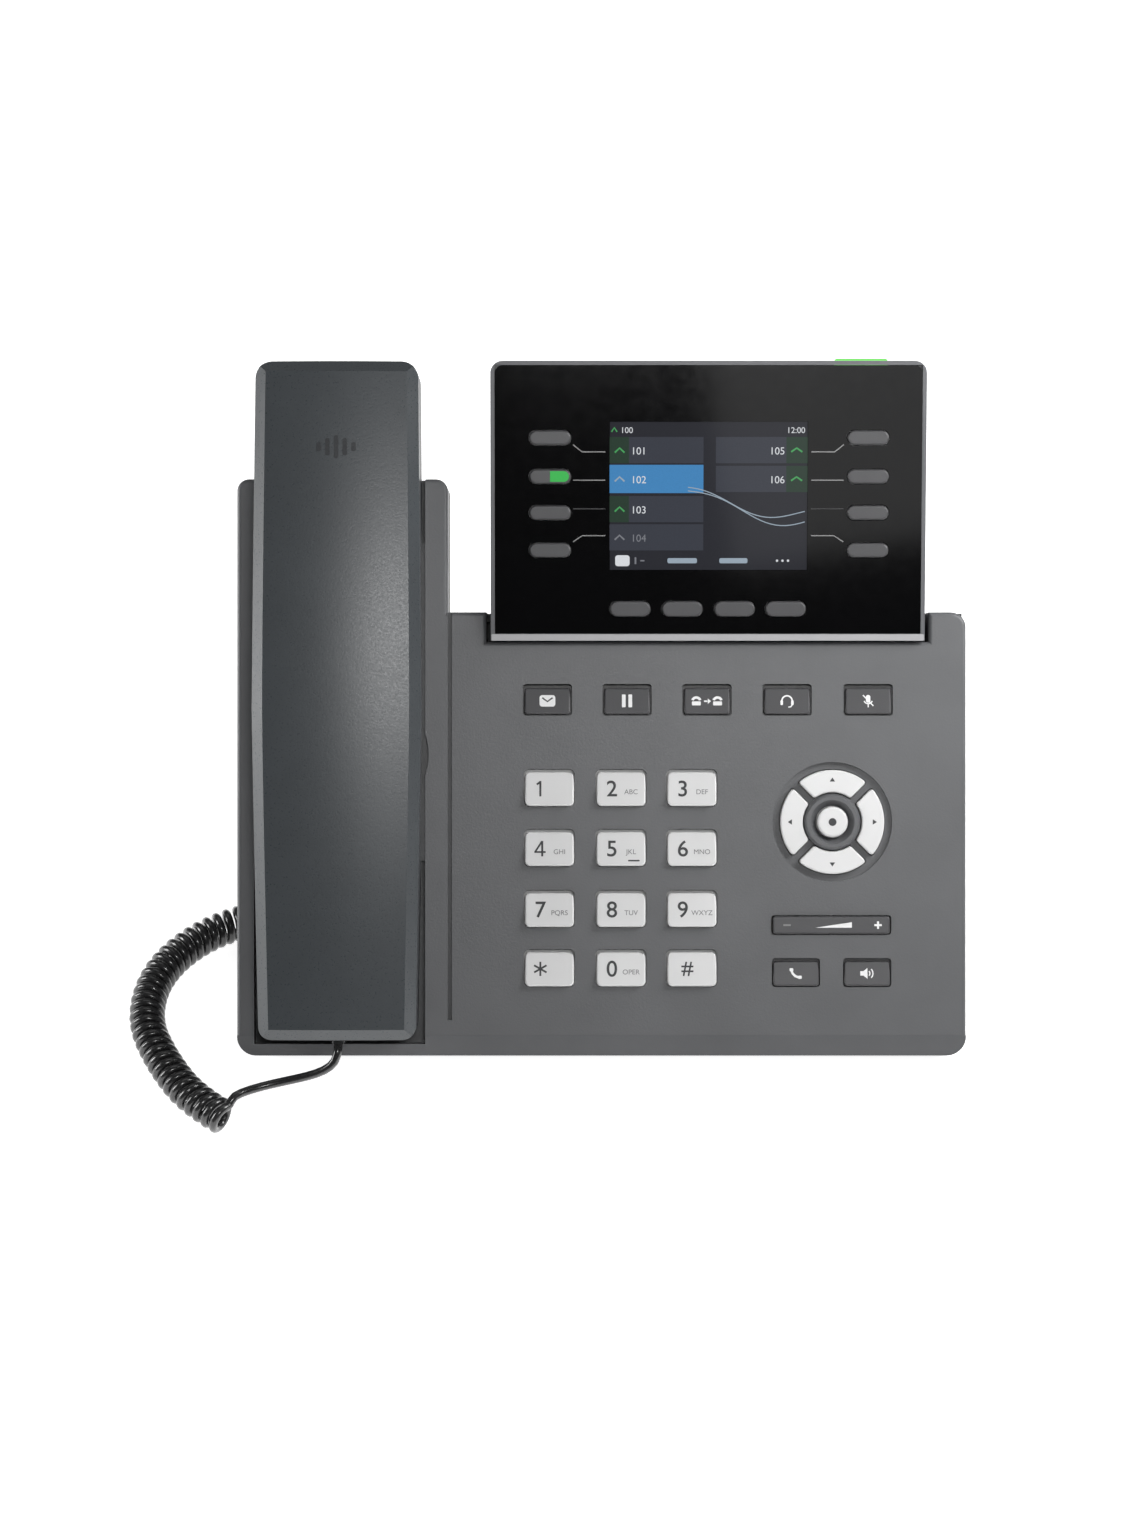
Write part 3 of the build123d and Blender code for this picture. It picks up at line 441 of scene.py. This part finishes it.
class Marks:
    """Flat shapes, in mm on a plane of their own, built up into one thin closed mesh."""

    def __init__(self, name, materials, height=PRINT, sunk=0.02):
        self.name = name
        self.materials = materials
        self.height, self.sunk = height, sunk
        self.shape = bmesh.new()

    def area(self, outline, ink=0, lift=0.0):
        """A prism on an outline of (x, y) points, taken anticlockwise."""
        low = [self.shape.verts.new((x, y, -self.sunk)) for x, y in outline]
        high = [self.shape.verts.new((x, y, self.height + lift)) for x, y in outline]
        faces = [self.shape.faces.new(list(reversed(low))), self.shape.faces.new(high)]
        for index in range(len(outline)):
            after = (index + 1) % len(outline)
            faces.append(self.shape.faces.new((low[index], low[after], high[after], high[index])))
        for face in faces:
            face.material_index = ink

    def bar(self, x, y, width, height, corner=0.0, ink=0, lift=0.0):
        """A rectangle about its middle, its corners rounded where a radius is given."""
        half_width, half_height = width / 2 - corner, height / 2 - corner
        outline = []
        for side_x, side_y, start in ((1, -1, -90), (1, 1, 0), (-1, 1, 90), (-1, -1, 180)):
            steps = 6 if corner else 0
            for step in range(steps + 1):
                angle = radians(start + 90 * step / max(steps, 1))
                outline.append((
                    x + side_x * half_width + corner * cos(angle),
                    y + side_y * half_height + corner * sin(angle),
                ))
        self.area(outline, ink, lift)

    def disc(self, x, y, radius, ink=0, lift=0.0):
        angles = [radians(angle) for angle in range(0, 360, 15)]
        self.area([(x + radius * cos(a), y + radius * sin(a)) for a in angles], ink, lift)

    def band(self, x, y, radius, width, start, end, ink=0, lift=0.0):
        """An arc's band between two angles in degrees."""
        steps = max(6, int(abs(end - start) / 12))
        angles = [radians(start + (end - start) * step / steps) for step in range(steps + 1)]
        outer, inner = radius + width / 2, radius - width / 2
        outline = [(x + outer * cos(a), y + outer * sin(a)) for a in angles]
        outline += [(x + inner * cos(a), y + inner * sin(a)) for a in reversed(angles)]
        self.area(outline, ink, lift)

    def stroke(self, points, width, ink=0, lift=0.0):
        """A band of even width along a line of points."""
        left, right = [], []
        for index, (x, y) in enumerate(points):
            before = Vector(points[max(index - 1, 0)])
            after = Vector(points[min(index + 1, len(points) - 1)])
            along = (after - before).normalized()
            left.append((x - along.y * width / 2, y + along.x * width / 2))
            right.append((x + along.y * width / 2, y - along.x * width / 2))
        self.area(right + list(reversed(left)), ink, lift)

    def glyphs(self, text, x, y, height, ink=0, lift=0.0, align="CENTER", weight=0.0):
        """Numbers or letters, with (x, y) at the middle of their height; weight thickens them."""
        curve = bpy.data.curves.new("glyphs", "FONT")
        curve.body = text
        curve.size = height / 0.7  # a capital's share of the font's size
        curve.align_x = align
        curve.offset = weight
        curve.fill_mode = "BOTH"
        curve.extrude = (self.height + self.sunk + lift) / 2
        holder = bpy.data.objects.new("glyphs", curve)
        mesh = bpy.data.meshes.new_from_object(holder)
        middle = (self.height + lift - self.sunk) / 2
        mesh.transform(Matrix.Translation((x, y - height / 2, middle)))
        mesh.materials.clear()
        count = len(self.shape.faces)
        self.shape.from_mesh(mesh)
        self.shape.faces.ensure_lookup_table()
        for face in self.shape.faces[count:]:
            face.material_index = ink
        bpy.data.objects.remove(holder)
        bpy.data.curves.remove(curve)
        bpy.data.meshes.remove(mesh)

    def place(self, matrix, body, drape=None):
        """Finish the marks as a piece riding a body: on a plane, or draped on a node's surface."""
        mesh = bpy.data.meshes.new(self.name)
        bmesh.ops.remove_doubles(self.shape, verts=self.shape.verts, dist=0.0001)
        bmesh.ops.recalc_face_normals(self.shape, faces=self.shape.faces)
        bmesh.ops.scale(self.shape, vec=(MM, MM, MM), verts=self.shape.verts)
        self.shape.to_mesh(mesh)
        self.shape.free()
        for material in self.materials:
            mesh.materials.append(material)
        mesh.transform(matrix)
        if drape:
            self.drape(mesh, drape, matrix)
        piece = bpy.data.objects.new(self.name, mesh)
        bpy.context.collection.objects.link(piece)
        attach(piece, body)
        return piece

    def drape(self, mesh, node, matrix):
        """Move the marks out from their plane on to a node's surface."""
        surface = BVHTree.FromObject(frame["nodes"][node], bpy.context.evaluated_depsgraph_get())
        out = matrix.to_3x3() @ Vector((0, 0, 1))
        for vertex in mesh.vertices:
            height = (vertex.co - matrix.translation).dot(out)
            hit = surface.ray_cast(vertex.co + out * 0.1, -out)[0]
            vertex.co = hit + out * height


def key_top(node):
    """A key's flat top: a matrix at its middle, with X across and Y up it, and its size in mm."""
    mesh = frame["nodes"][node].data
    out = slope_axes(FACE_TILT)[2]
    crown = max(vertex.co.dot(out) for vertex in mesh.vertices) - KEY_SLOPE * MM
    tops = [p for p in mesh.polygons if p.normal.dot(out) > 0.9 and p.center.dot(out) > crown]
    largest = max(tops, key=lambda polygon: polygon.area)
    level = largest.center.dot(largest.normal)
    flat = []
    for polygon in tops:
        rise = abs(polygon.center.dot(largest.normal) - level)
        if polygon.normal.dot(largest.normal) > SAME_SLOPE and rise < SAME_LEVEL * MM:
            flat.append(polygon)
    normal = sum((polygon.normal * polygon.area for polygon in flat), Vector()).normalized()
    across = Vector((1, 0, 0))
    up = normal.cross(across).normalized()
    corners = [mesh.vertices[index].co for polygon in flat for index in polygon.vertices]
    middle, spans = Vector(), []
    for axis in (across, up, normal):
        shares = [corner.dot(axis) for corner in corners]
        spans.append(max(shares) - min(shares))
        middle += axis * (max(shares) + min(shares)) / 2
    matrix = Matrix((across, up, normal)).transposed().to_4x4()
    matrix.translation = middle
    return matrix, spans[0] / MM, spans[1] / MM


# ---------------------------------------------------------------- dial keys
DIGIT_HEIGHT, LETTER_HEIGHT = 4.7, 1.45
DIAL_LETTERS = {
    "1": "", "2": "ABC", "3": "DEF",
    "4": "GHI", "5": "JKL", "6": "MNO",
    "7": "PQRS", "8": "TUV", "9": "WXYZ",
    "star": "", "0": "OPER", "hash": "",
}


def star(marks, x, y, radius):
    """A dial's six-armed star."""
    for turn in range(3):
        angle = radians(90 + 60 * turn)
        arm = Vector((cos(angle), sin(angle))) * radius
        marks.stroke([(x - arm.x, y - arm.y), (x + arm.x, y + arm.y)], 0.55, lift=0.002 * turn)


def hash_sign(marks, x, y, size):
    """A dial's hash: two leaning strokes crossed by two level ones."""
    for shift in (-0.17, 0.17):
        foot = (x + (shift - 0.1) * size, y - size / 2)
        head = (x + (shift + 0.1) * size, y + size / 2)
        marks.stroke([foot, head], 0.5, lift=0.002)
        level = y + shift * size
        marks.stroke([(x - 0.42 * size, level), (x + 0.42 * size, level)], 0.5)


def figure_one(marks, x):
    marks.bar(x, 0, 0.6, 4.6)
    marks.stroke([(x - 1.05, 1.25), (x + 0.05, 2.1)], 0.55, lift=0.005)


def figure_four(marks, x):
    marks.bar(x + 0.55, 0, 0.58, 4.6)
    marks.bar(x - 0.1, -1.0, 3.3, 0.52, lift=0.005)
    marks.stroke([(x + 0.5, 2.2), (x - 1.5, -0.95)], 0.52, lift=0.01)


def mark_dial_keys():
    """A figure and its letters on each dial key, and the ridge that marks the middle key."""
    for mark, letters in DIAL_LETTERS.items():
        node = f"dial_key_{mark}"
        matrix, width, height = key_top(node)
        marks = Marks(f"dial_print_{mark}", [PRINT_DARK, PRINT_FAINT])
        digit_x = -width * 0.2
        if mark == "star":
            star(marks, digit_x, 0, 2.1)
        elif mark == "hash":
            hash_sign(marks, digit_x * 0.5, 0, 4.2)
        elif mark == "1":
            figure_one(marks, digit_x)
        elif mark == "4":
            figure_four(marks, digit_x)
        else:
            marks.glyphs(mark, digit_x, 0.1, DIGIT_HEIGHT, weight=0.05)
        if letters:
            marks.glyphs(letters, width * 0.22, -0.9, LETTER_HEIGHT, ink=1)
        if mark == "5":
            marks.bar(width * 0.28, -height / 2 + 1.0, 3.4, 0.45, 0.2)
        marks.place(matrix, node)


# ---------------------------------------------------------------- keys with symbols
def message_sign(marks):
    marks.bar(0, 0, 4.6, 3.4, 0.8)
    marks.stroke([(-1.5, 0.9), (0, -0.2), (1.5, 0.9)], 0.45, ink=1, lift=0.02)


def hold_sign(marks):
    for x in (-0.95, 0.95):
        marks.bar(x, 0, 1.1, 3.8, 0.2)


def transfer_sign(marks):
    for x in (-3.1, 3.1):
        marks.band(x, -0.2, 1.2, 0.75, 20, 160)
        marks.bar(x, -0.75, 2.6, 1.2, 0.25, lift=0.003)
    marks.bar(-0.35, -0.1, 1.0, 0.45)
    marks.area([(0.25, -0.9), (1.2, -0.1), (0.25, 0.7)])


def headset_sign(marks):
    marks.band(0, 0, 1.5, 0.45, -10, 190)
    for x in (-1.55, 1.55):
        marks.bar(x, -0.55, 0.75, 1.4, 0.25, lift=0.003)
    marks.stroke([(1.5, -1.2), (1.1, -1.75), (0.35, -1.85)], 0.35)


def mute_sign(marks):
    marks.bar(0, 0.6, 1.3, 2.3, 0.6)
    marks.band(0, 0.4, 1.25, 0.35, 200, 340)
    marks.bar(0, -1.45, 0.35, 0.95)
    marks.stroke([(-1.5, 1.7), (1.5, -1.5)], 0.35, lift=0.003)


def send_sign(marks):
    """A telephone handset, leaning."""
    marks.stroke([(-1.35, 1.0), (-1.0, 0.0), (-0.2, -0.8), (1.1, -1.3)], 0.7)
    marks.bar(-1.3, 1.05, 1.1, 0.95, 0.3, lift=0.003)
    marks.bar(1.15, -1.15, 1.1, 0.95, 0.3, lift=0.003)


def speaker_sign(marks):
    marks.bar(-1.55, 0, 0.9, 1.3)
    marks.area([(-1.15, -0.6), (0.1, -1.6), (0.1, 1.6), (-1.15, 0.6)])
    for radius in (1.0, 1.9):
        marks.band(-0.2, 0, radius, 0.35, -42, 42)


KEY_SIGNS = {
    "messages_key": message_sign,
    "hold_key": hold_sign,
    "transfer_key": transfer_sign,
    "headset_key": headset_sign,
    "mute_key": mute_sign,
    "send_key": send_sign,
    "speaker_key": speaker_sign,
}
ARROW_TURNS = {"right": 0, "up": 90, "left": 180, "down": 270}


def mark_symbol_keys():
    """A white sign on each function and call key."""
    for node, sign in KEY_SIGNS.items():
        marks = Marks(f"{node}_print", [PRINT_WHITE, DARK_KEY])
        sign(marks)
        marks.place(key_top(node)[0], node)


def mark_arrow_keys():
    """A small triangle on each arrow key, pointing outward, and a dot on the middle key."""
    for name, turn in ARROW_TURNS.items():
        node = f"arrow_key_{name}"
        outward = Vector((cos(radians(turn)), sin(radians(turn))))
        across = Vector((-outward.y, outward.x))
        tip, back = outward * 1.85, outward * 0.65
        marks = Marks(f"{node}_print", [PRINT_DARK])
        marks.area([tuple(tip), tuple(back + across * 0.8), tuple(back - across * 0.8)])
        marks.place(key_top(node)[0], node)
    marks = Marks("ok_key_print", [PRINT_DARK])
    marks.disc(0, 0, 1.15)
    marks.place(key_top("ok_key")[0], "ok_key")


def mark_volume_rocker():
    """Minus, a rising wedge and plus."""
    matrix, width, _ = key_top("volume_rocker")
    marks = Marks("volume_print", [PRINT_WHITE, PRINT_LINE])
    marks.bar(-0.39 * width, 0, 2.2, 0.55, ink=1)
    marks.area([(-0.14 * width, -0.75), (0.18 * width, -0.75), (0.18 * width, 0.85)])
    marks.bar(0.41 * width, 0, 2.2, 0.6)
    marks.bar(0.41 * width, 0, 0.6, 2.2, lift=0.003)
    marks.place(matrix, "volume_rocker")


def light_line_key():
    """The right half of the second left line key is lit green through its cap."""
    matrix, width, height = key_top("line_key_left_2")
    marks = Marks("line_lamp", [LAMP], height=0.05)
    radius = height / 2
    centre = width / 2 - radius
    outline = [(0, -radius), (centre, -radius)]
    for angle in range(-75, 90, 15):
        outline.append((centre + radius * cos(radians(angle)), radius * sin(radians(angle))))
    outline += [(centre, radius), (0, radius)]
    marks.area(outline)
    marks.place(matrix, "line_key_left_2")


# ---------------------------------------------------------------- display
def mark_bezel():
    """Grey leader lines from each line key to its row on the screen."""
    marks = Marks("bezel_lines", [PRINT_LINE, PRINT_LINE_DIM])
    edge, near, key = 29.9, 36.6, 39.3  # from the middle to the screen, the bend and the key
    for side in (-1, 1):
        rows = ((54.9, 57.0, 0), (46.7, 46.7, 0), (38.4, 38.4, 1), (30.6, 28.8, 0))
        for inner, outer, ink in rows:
            line = [(side * key, outer), (side * near, inner), (side * edge, inner)]
            if side > 0:
                line.reverse()
            marks.stroke(line, 0.32, ink=ink)
    marks.place(SCREEN, "base")


def painted_edge_highlight():
    """A painted highlight along the display's lower edge: a thin light grey strip standing for the
    light that the edge catches.
    """
    width, proud, height = 126.1, 0.12, 1.9
    marks = Marks("display_strip", [EDGE_HIGHLIGHT], height=proud)
    marks.bar(0, height / 2, width, height, 0.3)
    marks.place(SCREEN, "base")


SCREEN_ROWS = (13.3, 4.95, -3.8, -12.0)  # middles of the list's rows, from the screen's middle
LABEL_ROW = -18.8  # middle of the soft keys' labels
WAVE_STEPS = 24
ROW_HEIGHT = 7.6
SCREEN_DEPTH = -0.3  # of the panel's face under the bezel's


def screen_picture():
    """A plain generic call screen: status bar, two lists, two waves and the soft keys' labels."""
    inks = [
        GLOW_DARK, GLOW_SLATE, GLOW_BLUE, GLOW_GREEN, GLOW_WHITE, GLOW_GREY, GLOW_PALE, GLOW_CELL,
    ]
    dark, slate, blue, green, white, grey, pale, cell = range(len(inks))
    marks = Marks("screen_picture", inks, height=0.02)
    marks.bar(0, 0, LCD_SIZE[0] - 0.3, LCD_SIZE[1] - 0.3, ink=dark)
    # status bar
    marks.stroke([(-28.2, 18.6), (-27.4, 19.8), (-26.6, 18.6)], 0.4, ink=green, lift=0.04)
    marks.glyphs("100", -25.6, 19.1, 1.7, ink=white, lift=0.04, align="LEFT")
    marks.glyphs("12:00", 28.0, 19.1, 1.7, ink=white, lift=0.04, align="RIGHT")
    # left list
    left, right = (-28.75, -1.5), (2.1, 28.75)
    middle, width = sum(left) / 2, left[1] - left[0]
    rows = zip(SCREEN_ROWS, (cell, blue, cell, slate), (green, pale, green, grey))
    for number, (row, back, sign) in enumerate(rows):
        lit, dim = number == 1, number == 3
        x = left[0] + 2.9
        marks.bar(middle, row, width, ROW_HEIGHT + 0.6 * lit, ink=blue if lit else slate, lift=0.02)
        marks.bar(left[0] + 2.8, row, 5.6, ROW_HEIGHT, ink=back, lift=0.03)
        roof = [(x - 1.4, row - 0.7), (x, row + 0.6), (x + 1.4, row - 0.7)]
        marks.stroke(roof, 0.5, ink=sign, lift=0.05)
        marks.glyphs(
            f"10{number + 1}", left[0] + 6.2, row - 0.2, 2.1, ink=grey if dim else white,
            lift=0.05, align="LEFT",
        )
    # right list
    middle, width = sum(right) / 2, right[1] - right[0]
    for number, row in enumerate(SCREEN_ROWS[:2]):
        x = right[1] - 3.2
        marks.bar(middle, row, width, ROW_HEIGHT, ink=slate, lift=0.02)
        marks.bar(right[1] - 3.1, row, 6.2, ROW_HEIGHT, ink=cell, lift=0.03)
        roof = [(x - 1.6, row - 0.5), (x, row + 0.6), (x + 1.6, row - 0.5)]
        marks.stroke(roof, 0.5, ink=green, lift=0.05)
        marks.glyphs(
            f"10{number + 5}", right[1] - 6.6, row - 0.2, 2.1, ink=white, lift=0.05, align="RIGHT",
        )
    # two crossing waves
    for phase, fall in ((0.0, 9.0), (0.7, 7.0)):
        wave = []
        for step in range(WAVE_STEPS + 1):
            share = step / WAVE_STEPS
            drop = fall * sin(pi / 2 * share) - 1.6 * sin(2 * pi * share + phase)
            wave.append((-6 + 34 * share, 1.5 - drop))
        marks.stroke(wave, 0.28, ink=pale, lift=0.055 + phase * 0.01)
    # soft key labels: (x, width, height, corner, ink)
    labels = (
        (-25.0, 4.2, 3.2, 0.8, white), (-21.2, 0.5, 2.0, 0.0, grey), (-19.2, 1.2, 0.4, 0.0, grey),
        (-7.6, 8.6, 1.5, 0.5, pale), (7.3, 8.2, 1.5, 0.5, pale),
    )
    for x, width, height, corner, ink in labels:
        marks.bar(x, LABEL_ROW, width, height, corner, ink=ink, lift=0.04)
    for x in (20.0, 21.6, 23.2):
        marks.disc(x, LABEL_ROW, 0.35, ink=white, lift=0.04)
    place = SCREEN @ Matrix.Translation(Vector((*LCD_CENTRE, SCREEN_DEPTH)) * MM)
    marks.place(place, "base")


def handset_mark():
    """A plain moulded mark on the handset's back: upright bars, like a sound's level."""
    marks = Marks("handset_mark", [EMBOSS], height=0.06)
    for x, height in ((-5.0, 2.6), (-2.5, 5.0), (0, 6.6), (2.5, 5.0), (5.0, 2.6)):
        marks.bar(x, 0, 1.25, height, 0.5)
    middle = Matrix.Translation(Vector((-76.4, 176.5, 0)) * MM)
    marks.place(FACE @ middle, "handset", "handset_front_shell")


mark_dial_keys()
mark_symbol_keys()
mark_arrow_keys()
mark_volume_rocker()
light_line_key()
mark_bezel()
painted_edge_highlight()
screen_picture()
handset_mark()


# ---------------------------------------------------------------- floor and lights
def make_floor():
    """White paper under and behind the phone, bright enough to show as plain white."""
    mesh = bpy.data.meshes.new("floor")
    shape = bmesh.new()
    bmesh.ops.create_grid(shape, x_segments=8, y_segments=8, size=4.0)
    shape.to_mesh(mesh)
    shape.free()
    material, nodes, links = new_material("floor_paper")
    shader = nodes["Principled BSDF"]
    shader.inputs["Roughness"].default_value = 0.9
    shader.inputs["Specular IOR Level"].default_value = 0.1
    broad = noise(nodes, links, 3, 2.0)
    paper = ramp(nodes, links, broad, (0.9, 0.9, 0.9), (0.94, 0.94, 0.94))
    links.new(paper, shader.inputs["Base Color"])
    shader.inputs["Emission Color"].default_value = (1, 1, 1, 1)
    shader.inputs["Emission Strength"].default_value = 0.9
    floor = link("floor", mesh, material)


def mirrored(point, eye):
    """Direction in which the display's glass, at a point, shows an eye its surroundings."""
    normal = slope_axes(SCREEN_TILT)[2]
    ray = (point - eye).normalized()
    return ray - 2 * ray.dot(normal) * normal


def softbox(name, place, aim, width, height, power):
    """A rectangular light of a width and height in metres and a power in watts."""
    data = bpy.data.lights.new(name, "AREA")
    data.shape = "RECTANGLE"
    data.size = width
    data.size_y = height
    data.energy = power
    light = bpy.data.objects.new(name, data)
    bpy.context.collection.objects.link(light)
    light.location = place
    light.rotation_euler = (Vector(aim) - Vector(place)).to_track_quat("-Z", "Y").to_euler()


def on_face(u, v, w):
    """A point in metres from the face's lower edge: across it, up it and out of it."""
    return FACE @ Vector((u, v, w))


def reflector(name, distance, radiance, width):
    """A soft card that the right side of the display's glass shows, with a slanting left edge."""
    eye = bpy.context.scene.camera.matrix_world.translation
    ends = []
    for u, v in ((-2.0, 88.0), (8.0, 22.0)):
        point = SCREEN @ (Vector((u, v, 0)) * MM)
        ends.append(point + mirrored(point, eye) * distance)
    up = (ends[0] - ends[1]).normalized()
    facing = (SCREEN.translation - sum(ends, Vector()) / 2).normalized()
    across = up.cross(-facing).normalized()
    away = across.cross(up)
    height = (ends[0] - ends[1]).length
    softbox(name, (0, 0, 1), (0, 0, 0), width, height, radiance * pi * width * height)
    place = Matrix((across, up, away)).transposed().to_4x4()
    place.translation = sum(ends, Vector()) / 2 + across * width / 2
    bpy.data.objects[name].matrix_world = place


def make_lights():
    """A near light on the right, one for the handset's highlight, two soft ones and a card."""
    world = bpy.data.worlds.new("studio")
    world.use_nodes = True
    background = world.node_tree.nodes["Background"]
    background.inputs["Color"].default_value = (1, 1, 1, 1)
    background.inputs["Strength"].default_value = 0.05
    bpy.context.scene.world = world
    middle = on_face(0, 0.09, 0)
    softbox("key_light", on_face(0.31, 0.28, 0.21), middle, 0.2, 0.25, 1.75)
    softbox("strip_light", on_face(0.08, 0.185, 1.1), on_face(-0.06, 0.1, 0), 0.24, 0.1, 2.4)
    softbox("side_light", on_face(-0.9, 0.25, 0.14), on_face(-0.1, 0.1, 0), 0.25, 0.5, 4.5)
    softbox("overhead_light", (0.2, 0.9, 1.6), (0, 0, 0), 2.2, 1.2, 5)
    reflector("glass_card", 1.3, 0.75, 0.6)


make_floor()
make_lights()
bpy.context.scene.view_settings.view_transform = "Standard"
